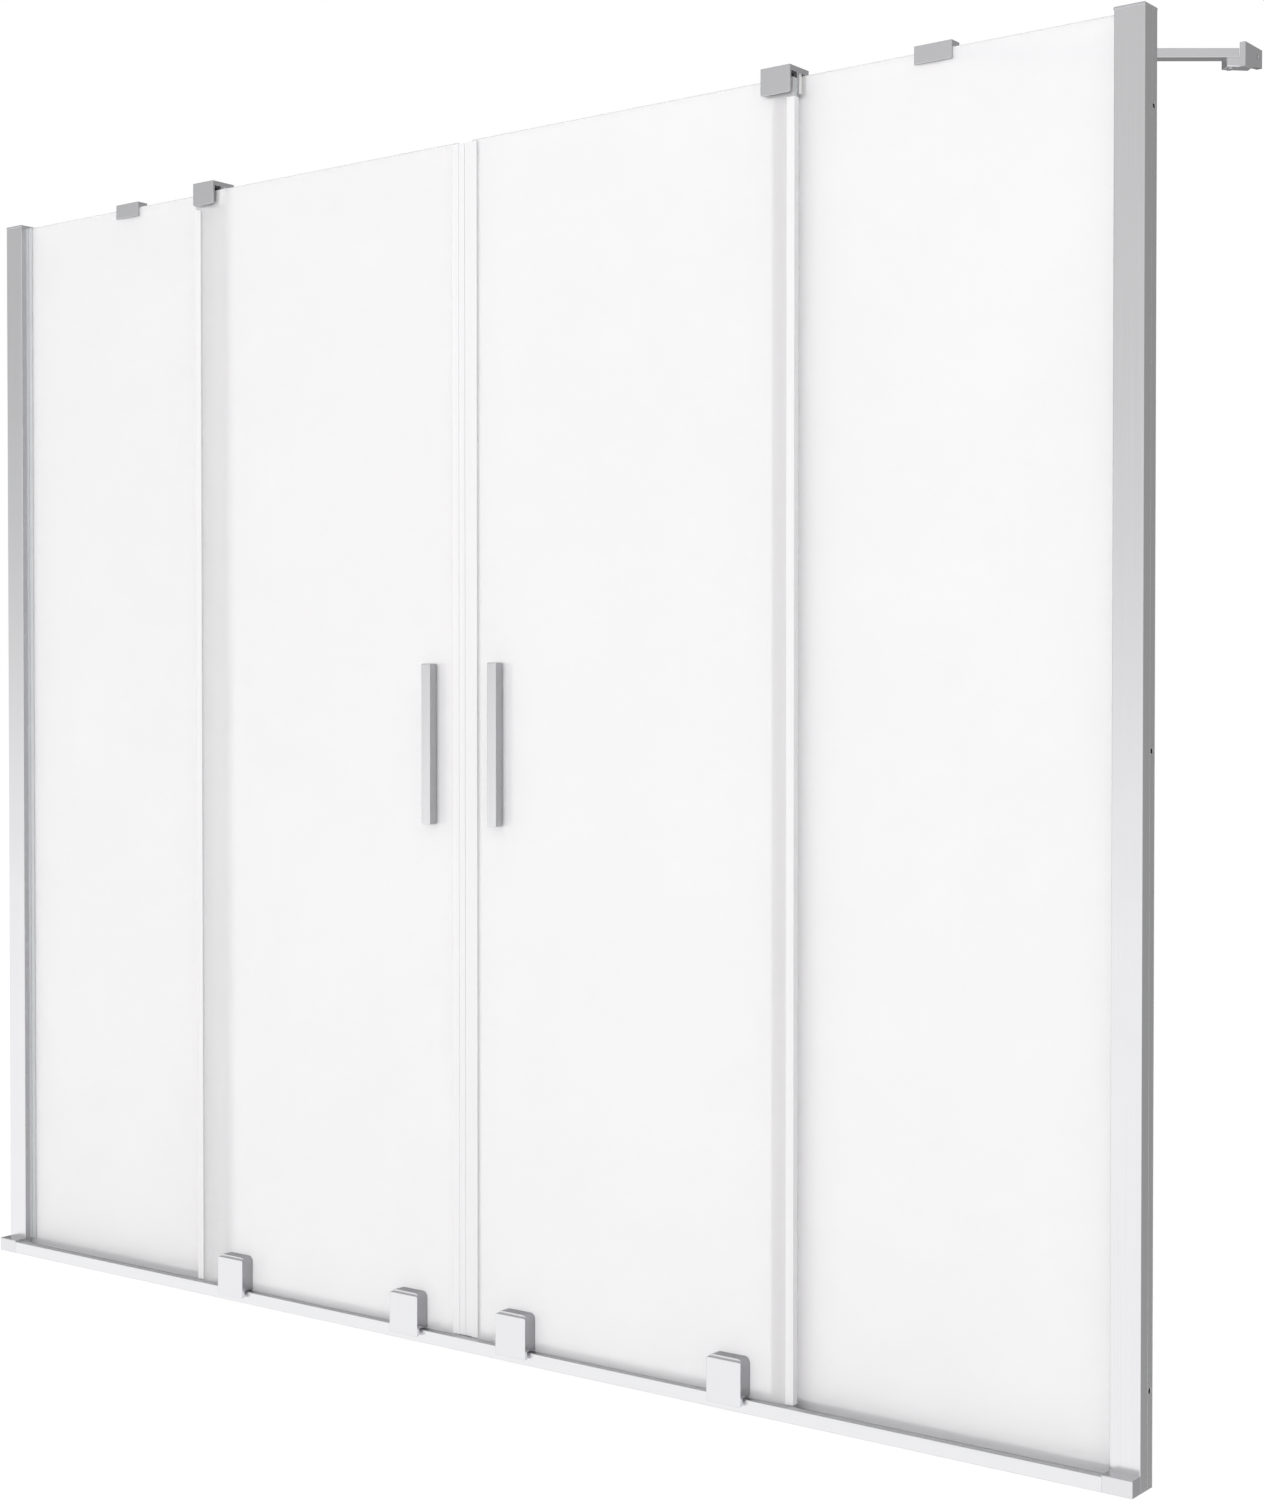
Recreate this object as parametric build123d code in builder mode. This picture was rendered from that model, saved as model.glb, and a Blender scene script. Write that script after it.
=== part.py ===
# Sliding bath screen: two fixed and two sliding satin glass panels between wall profiles.
# The frame's origin is the middle of the rail's underside, which stands on the bath rim.
# +X runs along the screen to the right seen from the room, +Y points into the bath, +Z up.
import os
from math import cos, radians, sin

from build123d import *

os.makedirs("parts", exist_ok=True)

# Whole screen
screen_width = 1800
screen_height = 1500
sides = (("left", -1), ("right", 1))
glass_thickness = 6
door_plane_y = -8
fixed_plane_y = 13.5
seat_gap = 0.1
slide_gap = 0.4

# Wall profile: a hollow front box with an open glass pocket and a pocket for the wall channel
profile_width = 34
profile_depth = 28
profile_front_y = -5
profile_wall = 1.5
profile_edge_radius = 0.8
pocket_width = 11
pocket_depth = 15.5
channel_pocket_width = 10.5
rear_leg_thickness = 1.6
cap_thickness = 3
cap_overhang = 0.6
cap_plug_depth = 12
foot_thickness = 2

# Wall channel
channel_web = 2
channel_flange = 1.5
channel_reach = 16
channel_clearance = 0.2
wall_hole_radius = 2.75
wall_hole_inset = 100

# Screws that join glazing profile and wall channel
profile_screw_radius = 1.5
profile_screw_head_radius = 3
profile_screw_head_height = 1.8
profile_screw_length = 4
profile_screw_inset = 60

# Bottom rail
rail_depth = 46
rail_height = 16
rail_wall = 1.6
rail_edge_radius = 0.6
track_depth = 10
track_groove_width = 6.6
track_groove_depth = 1.6
rear_box_depth = 4.5
rail_floor = 2
glass_seat_width = 10
seat_wall = 1.5
seat_wall_height = 9

# Rail end caps
end_cap_rise = 2
end_cap_plug_length = 20
end_cap_edge_radius = 1
buffer_thickness = 6
buffer_height = 10
buffer_depth = 12
buffer_gap = 0.5

# Fixed glass
fixed_span = 455
fixed_glass_cover = 12
fixed_floor_gap = 2
glass_corner_radius = 2

# Gaskets and clear strips
gasket_lip_width = 6
gasket_lip_thickness = 1.8
strip_wall = 1.2
strip_leg = 9
strip_rail_gap = 1
strip_top_gap = 4

# Sliding doors
door_overlap = 39.5
door_inner_x = 11
door_floor_gap = 3
door_top_drop = 5
magnet_depth = 7
magnet_bore = 4
magnet_end_gap = 3
meeting_gap = 0.25
fin_thickness = 1.2
fin_gap = 0.3
stop_gap = 0.4

# Rollers
roller_outer_inset = 81
roller_inner_x = 88
cover_width = 47
cover_height = 43.9
cover_rail_gap = 1.6
cover_wall = 2.4
cover_corner_radius = 7
cover_front_gap = 3.5
cover_front_wall = 1.2
plate_thickness = 4
plate_drop = 3
plate_overhang = 8
plate_corner_radius = 1.5
wheel_radius = 11
wheel_width = 5.6
wheel_hub_radius = 5.2
wheel_hub_width = 6.2
wheel_recess_depth = 1.2
wheel_edge_radius = 1
wheel_rim = 2.6
wheel_slot_width = 6.6
wheel_slot_margin = 2
wheel_lift = 0.05
axle_radius = 3
axle_running_gap = 0.05
axle_fixed_gap = 0.02
carrier_gap = 0.2
clamp_drop = 14
clamp_bolt_radius = 3
clamp_disc_radius = 12
clamp_disc_thickness = 3
clamp_bolt_reach = 12
clamp_socket_width = 4
clamp_socket_depth = 1.8
glass_hole_gap = 2

# Handles
handle_x = 54
handle_width = 14
handle_depth = 13
handle_length = 200
handle_mid_height = 750
handle_edge_radius = 0.8
handle_fixing_spacing = 145
stud_radius = 2.5
stud_reach = 8
stud_gap = 0.05
washer_radius = 6
washer_thickness = 1
bush_radius = 4.6
bush_length = 2.6
bush_gap = 0.4

# Top guides
guide_edge_gap = 0.5
guide_width = 39
guide_height = 30.5
guide_rise = 7.5
liner_front_leg = 3.5
guide_plate = 3
guide_roof = 6
guide_middle_lip = 4
guide_back_lip = 3
guide_corner_radius = 3
liner_leg = 1.3

# Stays that rise from clips on the fixed panes to the side walls
stay_clip_inset = 251
clip_width = 46
clip_height = 19.5
clip_front_plate = 2
clip_shelf = 4.35
clip_block_depth = 8
clip_glass_gap = 0.2
stay_angle = 44
stay_rise_angle = 1.9
stay_width = 16
stay_neck_width = 7
stay_neck_length = 12
stay_height = 9.8
stay_gap = 0.15
stay_slot_play = 0.5
stay_end_gap = 0.3
stay_hole_gap = 0.3
bracket_depth = 46
bracket_plate = 6.5
bracket_height = 26.5
bracket_shoulder_rise = 6.5
bracket_foot_height = 10
bracket_corner_radius = 1
bracket_foot_length = 14
bracket_arch = 1.2
bracket_hole_radius = 2.5
bracket_hole_inset = 12
bracket_hole_drop = 9.5
stay_screw_radius = 2.5
stay_screw_head_radius = 4.2
stay_screw_head_height = 1.4
stay_screw_reach = 6
grub_radius = 2.5
grub_length = 3.2
grub_socket_width = 2.5
grub_socket_depth = 1.5
grub_spread = 12

# Places that follow from the sizes, first the walls and the glazing profiles
wall_x = screen_width / 2
profile_inner_x = wall_x - profile_width
profile_back_y = profile_front_y + profile_depth
profile_top = screen_height - cap_thickness
profile_screw_heights = (profile_screw_inset, screen_height / 2, screen_height - profile_screw_inset)
wall_hole_heights = (wall_hole_inset, screen_height / 2, screen_height - wall_hole_inset)
pocket_front_y = fixed_plane_y - pocket_width / 2
pocket_back_y = fixed_plane_y + pocket_width / 2
pocket_end_u = profile_width - pocket_depth
channel_back_y = profile_back_y - profile_wall
channel_front_y = channel_back_y - channel_pocket_width
channel_mid_y = (channel_front_y + channel_back_y) / 2

# The rail
rail_front_y = -rail_depth / 2
rail_back_y = rail_depth / 2
rail_length = 2 * (profile_inner_x - seat_gap)
track_back_y = rail_front_y + track_depth
track_mid_y = rail_front_y + track_depth / 2
groove_floor = rail_height - track_groove_depth
seat_front_y = fixed_plane_y - glass_seat_width / 2
seat_back_y = fixed_plane_y + glass_seat_width / 2
end_cap_height = rail_height + end_cap_rise
buffer_face_x = profile_inner_x - buffer_thickness

# The glass and its strips
fixed_inner_x = wall_x - fixed_span
fixed_outer_x = profile_inner_x + fixed_glass_cover
fixed_glass_bottom = rail_floor + fixed_floor_gap
fixed_glass_top = profile_top
fixed_front_y = fixed_plane_y - glass_thickness / 2
fixed_back_y = fixed_plane_y + glass_thickness / 2
door_outer_x = fixed_inner_x + door_overlap
door_edge_x = door_outer_x + strip_wall + seat_gap
door_glass_bottom = rail_floor + door_floor_gap
door_glass_top = fixed_glass_top - door_top_drop
door_front_y = door_plane_y - glass_thickness / 2
door_back_y = door_plane_y + glass_thickness / 2
strip_bottom = rail_height + strip_rail_gap
meeting_strip_top = door_glass_top - glass_corner_radius
handle_front_y = door_front_y - washer_thickness
handle_back_y = door_back_y + washer_thickness

# The rollers
roller_outer_x = door_outer_x - roller_outer_inset
wheel_z = groove_floor + wheel_radius + wheel_lift
cover_bottom = rail_height + cover_rail_gap
cover_top = cover_bottom + cover_height
cover_back_y = door_front_y - slide_gap
cover_front_y = rail_front_y - cover_front_gap
plate_top = cover_top - plate_drop
plate_bottom = rail_height - plate_overhang
clamp_height = cover_top - clamp_drop
carrier_depth = door_front_y - seat_gap - carrier_gap - cover_front_wall - cover_front_y

# The top guides
guide_inner_x = fixed_inner_x - guide_edge_gap
guide_mid_x = guide_inner_x + guide_width / 2
guide_top = fixed_glass_top + guide_rise
guide_bottom = guide_top - guide_height
guide_roof_z = guide_top - guide_roof
guide_grub_z = (guide_bottom + guide_roof_z) / 2
guide_back_y = fixed_back_y + slide_gap + guide_back_lip
liner_front_y = door_front_y - slide_gap
liner_back_y = door_back_y + slide_gap
guide_front_y = liner_front_y - seat_gap - liner_front_leg - guide_plate
middle_lip_y = liner_back_y + liner_leg + seat_gap
edge_strip_top = guide_bottom - strip_top_gap

# The stays and their brackets
stay_clip_x = wall_x - stay_clip_inset
clip_bottom = guide_top - clip_height
clip_front_y = fixed_front_y - clip_glass_gap - clip_front_plate
clip_back_y = fixed_back_y + clip_glass_gap + clip_block_depth
clip_grub_z = (clip_bottom + guide_top) / 2
stay_bottom = clip_bottom + clip_shelf + stay_gap
stay_pivot_y = (fixed_back_y + clip_glass_gap + clip_back_y) / 2
stay_cos = cos(radians(stay_angle))
stay_sin = sin(radians(stay_angle))
rise_cos = cos(radians(stay_rise_angle))
rise_sin = sin(radians(stay_rise_angle))
stay_reach_x = wall_x - bracket_plate - stay_end_gap - stay_clip_x
stay_plan_length = (stay_reach_x - stay_width / 2 * stay_sin) / stay_cos
stay_screw_run = stay_plan_length - stay_width / 2
stay_screw_x = stay_clip_x + stay_screw_run * stay_cos
stay_screw_y = stay_pivot_y + stay_screw_run * stay_sin
stay_screw_seat = stay_bottom + stay_screw_run * rise_sin / rise_cos
bracket_front_y = stay_pivot_y + stay_plan_length * stay_sin - stay_width / 2 * stay_cos
bracket_back_y = bracket_front_y + bracket_depth
bracket_bottom = stay_screw_seat - bracket_foot_height
bracket_top = bracket_bottom + bracket_height
bracket_shoulder = bracket_bottom + bracket_shoulder_rise
bracket_hole_height = bracket_top - bracket_hole_drop
travel = buffer_face_x - door_outer_x - stop_gap
print("door travel", round(travel, 3), "wheel radius", wheel_radius)
print("stay bracket hole", round(bracket_back_y - bracket_hole_inset, 4), round(bracket_hole_height, 4))


def area(x_low, x_high, y_low, y_high, mode=Mode.ADD):
    """A rectangle by its limits in the sketch's own plane."""
    with Locations(((x_low + x_high) / 2, (y_low + y_high) / 2)):
        return Rectangle(abs(x_high - x_low), y_high - y_low, mode=mode)


def wall_area(side, u_low, u_high, y_low, y_high, mode=Mode.ADD):
    """A rectangle measured from the wall plane inwards."""
    return area(side * (wall_x - u_low), side * (wall_x - u_high), y_low, y_high, mode)


# Plane of a section that runs along X: sketch x is the screen's Y, sketch y is Z
def section_plane(x):
    return Plane(origin=(x, 0, 0), x_dir=(0, 1, 0), z_dir=(1, 0, 0))


# Plane of an outline seen from the room: sketch x is X, sketch y is Z, extruded towards the room
def front_plane(y):
    return Plane(origin=(0, y, 0), x_dir=(1, 0, 0), z_dir=(0, -1, 0))


# Plane on a face that looks into the bath: sketch x is X, sketch y is minus Z
def bath_plane(y):
    return Plane(origin=(0, y, 0), x_dir=(1, 0, 0), z_dir=(0, 1, 0))


# Bottom rail: track box, recess for the doors' lower edge, glass seat and rear box
with BuildPart() as bottom_rail:
    with BuildSketch(section_plane(-rail_length / 2)) as rail_section:
        area(rail_front_y, rail_back_y, 0, rail_floor)
        area(rail_front_y, track_back_y, 0, rail_height)
        area(rail_back_y - rear_box_depth, rail_back_y, 0, rail_height)
        area(seat_front_y - seat_wall, seat_front_y, 0, seat_wall_height)
        top_corners = rail_section.vertices().group_by(Axis.Y)[-1]
        fillet(top_corners, radius=rail_edge_radius)
        area(
            track_mid_y - track_groove_width / 2,
            track_mid_y + track_groove_width / 2,
            groove_floor,
            rail_height,
            Mode.SUBTRACT,
        )
        area(
            rail_front_y + rail_wall,
            track_back_y - rail_wall,
            rail_wall,
            groove_floor - rail_wall,
            Mode.SUBTRACT,
        )
        area(
            seat_back_y + seat_wall,
            rail_back_y - seat_wall,
            rail_wall,
            rail_height - rail_wall,
            Mode.SUBTRACT,
        )
    extrude(amount=rail_length)
bottom_rail.part.label = "bottom_rail"
export_step(bottom_rail.part, "parts/bottom_rail.step")

# Parts of the two wall sides
for name, side in sides:
    profile_screw_places = [
        (side * (wall_x - channel_reach / 2), -height) for height in profile_screw_heights
    ]

    # Wall channel with its three wall holes
    with BuildPart() as wall_channel:
        with BuildSketch(Plane.XY.offset(foot_thickness)):
            wall_area(
                side,
                0,
                channel_reach,
                channel_front_y + channel_clearance,
                channel_back_y - channel_clearance,
            )
            wall_area(
                side,
                channel_web,
                channel_reach,
                channel_front_y + channel_clearance + channel_flange,
                channel_back_y - channel_clearance - channel_flange,
                Mode.SUBTRACT,
            )
        extrude(amount=profile_top - foot_thickness)
        wall_side = Plane(origin=(side * wall_x, channel_mid_y, 0), x_dir=(0, 1, 0), z_dir=(side, 0, 0))
        with BuildSketch(wall_side):
            with Locations(*[(0, side * height) for height in wall_hole_heights]):
                Circle(wall_hole_radius)
        extrude(amount=-channel_web, mode=Mode.SUBTRACT)
        with BuildSketch(bath_plane(channel_back_y)):
            with Locations(*profile_screw_places):
                Circle(profile_screw_radius + seat_gap)
        extrude(amount=-channel_clearance - channel_flange, mode=Mode.SUBTRACT)
    wall_channel.part.label = f"{name}_wall_channel"
    export_step(wall_channel.part, f"parts/{name}_wall_channel.step")

    # Glazing profile that telescopes over the wall channel
    with BuildPart() as glazing_profile:
        with BuildSketch(Plane.XY.offset(foot_thickness)) as profile_section:
            wall_area(side, 0, profile_width, profile_front_y, profile_back_y)
            fillet(profile_section.vertices().group_by(Axis.Y)[0], radius=profile_edge_radius)
            wall_area(side, pocket_end_u, profile_width, pocket_front_y, pocket_back_y, Mode.SUBTRACT)
            wall_area(
                side,
                0,
                pocket_end_u - profile_wall,
                channel_front_y,
                channel_back_y,
                Mode.SUBTRACT,
            )
            wall_area(
                side,
                pocket_end_u,
                profile_width,
                pocket_back_y + rear_leg_thickness,
                profile_back_y,
                Mode.SUBTRACT,
            )
            wall_area(
                side,
                profile_wall,
                profile_width - profile_wall,
                profile_front_y + profile_wall,
                pocket_front_y - profile_wall,
                Mode.SUBTRACT,
            )
            wall_area(
                side,
                profile_wall,
                pocket_end_u - profile_wall,
                pocket_front_y - profile_wall,
                channel_front_y - profile_wall,
                Mode.SUBTRACT,
            )
        extrude(amount=profile_top - foot_thickness)
        with BuildSketch(bath_plane(profile_back_y)):
            with Locations(*profile_screw_places):
                Circle(profile_screw_radius + seat_gap)
        extrude(amount=-profile_wall, mode=Mode.SUBTRACT)
    glazing_profile.part.label = f"{name}_glazing_profile"
    export_step(glazing_profile.part, f"parts/{name}_glazing_profile.step")

    # Rail end cap: block in front of the profile, foot under it, plug in the track box
    with BuildPart() as end_cap:
        with BuildSketch(Plane.XY):
            wall_area(side, 0, profile_width, rail_front_y, profile_front_y - seat_gap)
        extrude(amount=end_cap_height)
        top_front_edge = end_cap.edges().filter_by(Axis.X).group_by(Axis.Z)[-1].sort_by(Axis.Y)[0]
        fillet(top_front_edge, radius=end_cap_edge_radius)
        with BuildSketch(Plane.XY):
            wall_area(side, 0, profile_width, profile_front_y - 2 * seat_gap, profile_back_y)
        extrude(amount=foot_thickness)
        with BuildSketch(section_plane(side * profile_inner_x)):
            area(
                rail_front_y + rail_wall + seat_gap,
                track_back_y - rail_wall - seat_gap,
                rail_wall + seat_gap,
                groove_floor - rail_wall - seat_gap,
            )
        extrude(amount=-side * end_cap_plug_length)
    end_cap.part.label = f"{name}_rail_end_cap"
    export_step(end_cap.part, f"parts/{name}_rail_end_cap.step")

    # Fixed glass
    with BuildPart() as fixed_glass:
        with BuildSketch(front_plane(fixed_back_y)) as pane:
            area(
                side * fixed_inner_x,
                side * fixed_outer_x,
                fixed_glass_bottom,
                fixed_glass_top,
            )
            inner_corners = pane.vertices().sort_by(Axis.X, reverse=side < 0)[0:2]
            fillet(inner_corners, radius=glass_corner_radius)
        extrude(amount=glass_thickness)
    fixed_glass.part.label = f"{name}_fixed_glass"
    export_step(fixed_glass.part, f"parts/{name}_fixed_glass.step")

    # Rubber gasket in the glass pocket, with the lip that shows beside the profile
    with BuildPart() as wall_gasket:
        with BuildSketch(Plane.XY.offset(foot_thickness + seat_gap)):
            wall_area(
                side,
                pocket_end_u + seat_gap,
                profile_width,
                pocket_front_y + seat_gap,
                pocket_back_y - seat_gap,
            )
            wall_area(
                side,
                profile_width - fixed_glass_cover - seat_gap,
                profile_width,
                fixed_front_y - seat_gap,
                fixed_back_y + seat_gap,
                Mode.SUBTRACT,
            )
        extrude(amount=profile_top - foot_thickness - 2 * seat_gap)
        with BuildSketch(Plane.XY.offset(strip_bottom)):
            wall_area(
                side,
                profile_width,
                profile_width + gasket_lip_width,
                fixed_front_y - seat_gap - gasket_lip_thickness,
                fixed_front_y - seat_gap,
            )
        extrude(amount=profile_top - strip_bottom - seat_gap)
    wall_gasket.part.label = f"{name}_wall_gasket"
    export_step(wall_gasket.part, f"parts/{name}_wall_gasket.step")

    # Top guide: an E-shaped hook on the fixed glass that the door's top edge runs in
    with BuildPart() as top_guide:
        with BuildSketch(section_plane(side * guide_inner_x)):
            area(guide_front_y, guide_back_y, guide_bottom, guide_top)
            area(
                guide_front_y + guide_plate,
                middle_lip_y,
                guide_bottom,
                guide_roof_z,
                Mode.SUBTRACT,
            )
            area(
                middle_lip_y + guide_middle_lip,
                guide_back_y - guide_back_lip,
                guide_bottom,
                guide_roof_z,
                Mode.SUBTRACT,
            )
        extrude(amount=side * guide_width)
        lower_corners = top_guide.edges().filter_by(Axis.Y).group_by(Axis.Z)[0]
        fillet(lower_corners, radius=guide_corner_radius)
        with BuildSketch(bath_plane(guide_back_y)):
            with Locations(
                (side * (guide_mid_x - grub_spread), -guide_grub_z),
                (side * (guide_mid_x + grub_spread), -guide_grub_z),
            ):
                Circle(grub_radius + axle_fixed_gap)
        extrude(amount=-guide_back_lip, mode=Mode.SUBTRACT)
    top_guide.part.label = f"{name}_top_guide"
    export_step(top_guide.part, f"parts/{name}_top_guide.step")

    # Stay clip: a clamp over the glass top with a slot for the stay
    with BuildPart() as stay_clip:
        with BuildSketch(section_plane(side * (stay_clip_x - clip_width / 2))):
            area(clip_front_y, clip_back_y, clip_bottom, guide_top)
            area(
                fixed_front_y - clip_glass_gap,
                fixed_back_y + clip_glass_gap,
                clip_bottom,
                fixed_glass_top + clip_glass_gap,
                Mode.SUBTRACT,
            )
        extrude(amount=side * clip_width)
        with BuildSketch(Plane.XY.offset(clip_bottom + clip_shelf)):
            area(
                side * (stay_clip_x - stay_neck_width / 2 - stay_slot_play),
                side * (stay_clip_x + clip_width),
                stay_pivot_y - stay_neck_width / 2 - stay_slot_play,
                clip_back_y + stay_width,
            )
        extrude(amount=stay_height + stay_gap * 2 + stay_slot_play, mode=Mode.SUBTRACT)
        with BuildSketch(Plane.XY.offset(clip_bottom)):
            with Locations((side * stay_clip_x, stay_pivot_y)):
                Circle(stay_screw_radius + axle_fixed_gap)
        extrude(amount=clip_shelf, mode=Mode.SUBTRACT)
        with BuildSketch(bath_plane(clip_back_y)):
            with Locations((side * (stay_clip_x - grub_spread), -clip_grub_z)):
                Circle(grub_radius + axle_fixed_gap)
        extrude(amount=-clip_block_depth, mode=Mode.SUBTRACT)
    stay_clip.part.label = f"{name}_stay_clip"
    export_step(stay_clip.part, f"parts/{name}_stay_clip.step")

    # Stay bar with a narrow neck that turns in the clip
    stay_plane = Plane(
        origin=(side * stay_clip_x, stay_pivot_y, stay_bottom),
        x_dir=(side * stay_cos * rise_cos, stay_sin * rise_cos, rise_sin),
        z_dir=(-side * stay_cos * rise_sin, -stay_sin * rise_sin, rise_cos),
    )
    with BuildPart() as stay_bar:
        with BuildSketch(stay_plane):
            Circle(stay_neck_width / 2)
            area(0, stay_plan_length / rise_cos, -stay_neck_width / 2, stay_neck_width / 2)
            area(stay_neck_length, stay_plan_length / rise_cos, -stay_width / 2, stay_width / 2)
            with Locations((0, 0), (stay_screw_run / rise_cos, 0)):
                Circle(stay_screw_radius + stay_hole_gap, mode=Mode.SUBTRACT)
        extrude(amount=stay_height)
    stay_bar.part.label = f"{name}_stay_bar"
    export_step(stay_bar.part, f"parts/{name}_stay_bar.step")

    # Wall bracket: a foot in the stay's direction and a plate with an arched underside
    foot_plane = Plane(
        origin=(side * stay_clip_x, stay_pivot_y, bracket_bottom),
        x_dir=(side * stay_cos, stay_sin, 0),
        z_dir=(0, 0, 1),
    )
    with BuildPart() as wall_bracket:
        with BuildSketch(foot_plane):
            area(
                stay_plan_length - bracket_foot_length,
                stay_plan_length + stay_width,
                -stay_width / 2,
                stay_width / 2,
            )
        extrude(amount=stay_width)
        fillet(wall_bracket.edges().group_by(Axis.Z)[0], radius=bracket_corner_radius)
        with BuildSketch(stay_plane.offset(-seat_gap)):
            area(0, stay_plan_length + 2 * stay_width, -stay_width, stay_width)
        extrude(amount=stay_width, mode=Mode.SUBTRACT)
        with BuildSketch(section_plane(side * wall_x)):
            with BuildLine():
                Polyline(
                    (bracket_front_y + bracket_foot_length, bracket_bottom),
                    (bracket_front_y, bracket_bottom),
                    (bracket_front_y, bracket_top),
                    (bracket_back_y, bracket_top),
                    (bracket_back_y, bracket_shoulder),
                )
                ThreePointArc(
                    (bracket_back_y, bracket_shoulder),
                    (
                        (bracket_front_y + bracket_foot_length + bracket_back_y) / 2,
                        (bracket_bottom + bracket_shoulder) / 2 + bracket_arch,
                    ),
                    (bracket_front_y + bracket_foot_length, bracket_bottom),
                )
            make_face()
            with Locations((bracket_back_y - bracket_hole_inset, bracket_hole_height)):
                Circle(bracket_hole_radius, mode=Mode.SUBTRACT)
        extrude(amount=-side * bracket_plate)
        with BuildSketch(Plane.XY.offset(bracket_bottom)):
            area(
                side * wall_x,
                side * (wall_x + bracket_depth),
                bracket_front_y - bracket_depth,
                bracket_back_y + bracket_depth,
            )
        extrude(amount=bracket_depth, mode=Mode.SUBTRACT)
        with BuildSketch(Plane.XY.offset(bracket_bottom)):
            with Locations((side * stay_screw_x, stay_screw_y)):
                Circle(stay_screw_radius + axle_fixed_gap)
        extrude(amount=stay_screw_seat - bracket_bottom, mode=Mode.SUBTRACT)
    wall_bracket.part.label = f"{name}_wall_bracket"
    export_step(wall_bracket.part, f"parts/{name}_wall_bracket.step")

# Moulded caps that close the tops of the glazing profiles, with plugs in their front boxes
with BuildPart() as profile_caps:
    for name, side in sides:
        with BuildSketch(Plane.XY.offset(profile_top)) as cap_outline:
            wall_area(
                side,
                0,
                profile_width + cap_overhang,
                profile_front_y - cap_overhang,
                profile_back_y + cap_overhang,
            )
            fillet(cap_outline.vertices().group_by(Axis.Y)[0], radius=profile_edge_radius)
        extrude(amount=cap_thickness)
        with BuildSketch(Plane.XY.offset(profile_top)):
            wall_area(
                side,
                profile_wall + seat_gap,
                profile_width - profile_wall - seat_gap,
                profile_front_y + profile_wall + seat_gap,
                pocket_front_y - profile_wall - seat_gap,
            )
            wall_area(
                side,
                2 * profile_wall,
                profile_width - 2 * profile_wall,
                profile_front_y + 2 * profile_wall,
                pocket_front_y - 2 * profile_wall,
                Mode.SUBTRACT,
            )
        extrude(amount=-cap_plug_depth)
    chamfer(profile_caps.edges().group_by(Axis.Z)[-1], length=profile_edge_radius)
profile_caps.part.label = "profile_caps"
export_step(profile_caps.part, "parts/profile_caps.step")

# Gaskets that seat both fixed panes in the rail
with BuildPart() as rail_gaskets:
    for name, side in sides:
        with BuildSketch(section_plane(side * fixed_inner_x)):
            area(
                seat_front_y + seat_gap,
                seat_back_y - seat_gap,
                rail_floor + seat_gap,
                seat_wall_height,
            )
            area(
                fixed_front_y - seat_gap,
                fixed_back_y + seat_gap,
                fixed_glass_bottom - seat_gap,
                seat_wall_height,
                Mode.SUBTRACT,
            )
        extrude(amount=side * (profile_inner_x - fixed_inner_x - seat_gap))
rail_gaskets.part.label = "rail_gaskets"
export_step(rail_gaskets.part, "parts/rail_gaskets.step")

# Clear strips on the inner edges of the fixed panes
with BuildPart() as edge_strips:
    for name, side in sides:
        with BuildSketch(Plane.XY.offset(strip_bottom)):
            area(
                side * (fixed_inner_x - seat_gap - strip_wall),
                side * (fixed_inner_x + strip_leg),
                fixed_front_y - seat_gap - strip_wall,
                fixed_back_y + seat_gap + strip_wall,
            )
            area(
                side * (fixed_inner_x - seat_gap),
                side * (fixed_inner_x + strip_leg),
                fixed_front_y - seat_gap,
                fixed_back_y + seat_gap,
                Mode.SUBTRACT,
            )
        extrude(amount=edge_strip_top - strip_bottom)
edge_strips.part.label = "edge_strips"
export_step(edge_strips.part, "parts/edge_strips.step")

# Nylon liners that the doors' top edges run between, and spacers in front of the fixed panes
with BuildPart() as guide_liners:
    for name, side in sides:
        with BuildSketch(section_plane(side * (guide_inner_x + guide_corner_radius))):
            area(
                guide_front_y + guide_plate + seat_gap,
                middle_lip_y - seat_gap,
                guide_bottom + guide_corner_radius,
                guide_roof_z - seat_gap,
            )
            area(
                liner_front_y,
                liner_back_y,
                guide_bottom + guide_corner_radius,
                guide_roof_z - liner_leg,
                Mode.SUBTRACT,
            )
        extrude(amount=side * (guide_width - 2 * guide_corner_radius))
guide_liners.part.label = "guide_liners"
export_step(guide_liners.part, "parts/guide_liners.step")

with BuildPart() as guide_spacers:
    for name, side in sides:
        with BuildSketch(section_plane(side * (guide_inner_x + guide_corner_radius))):
            area(
                middle_lip_y + guide_middle_lip + seat_gap,
                fixed_front_y - seat_gap,
                guide_bottom + guide_corner_radius,
                guide_roof_z - seat_gap,
            )
        extrude(amount=side * (guide_width - 2 * guide_corner_radius))
guide_spacers.part.label = "guide_spacers"
export_step(guide_spacers.part, "parts/guide_spacers.step")

# Grub screws that clamp the guides and the clips on the fixed panes
with BuildPart() as grub_screws:
    for name, side in sides:
        with BuildSketch(bath_plane(fixed_back_y)):
            with Locations(
                (side * (guide_mid_x - grub_spread), -guide_grub_z),
                (side * (guide_mid_x + grub_spread), -guide_grub_z),
                (side * (stay_clip_x - grub_spread), -clip_grub_z),
            ):
                Circle(grub_radius)
                RegularPolygon(grub_socket_width / 2, 6, major_radius=False, mode=Mode.SUBTRACT)
        extrude(amount=grub_length)
        with BuildSketch(bath_plane(fixed_back_y)):
            with Locations(
                (side * (guide_mid_x - grub_spread), -guide_grub_z),
                (side * (guide_mid_x + grub_spread), -guide_grub_z),
                (side * (stay_clip_x - grub_spread), -clip_grub_z),
            ):
                Circle(grub_radius)
        extrude(amount=grub_length - grub_socket_depth)
grub_screws.part.label = "grub_screws"
export_step(grub_screws.part, "parts/grub_screws.step")

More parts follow.
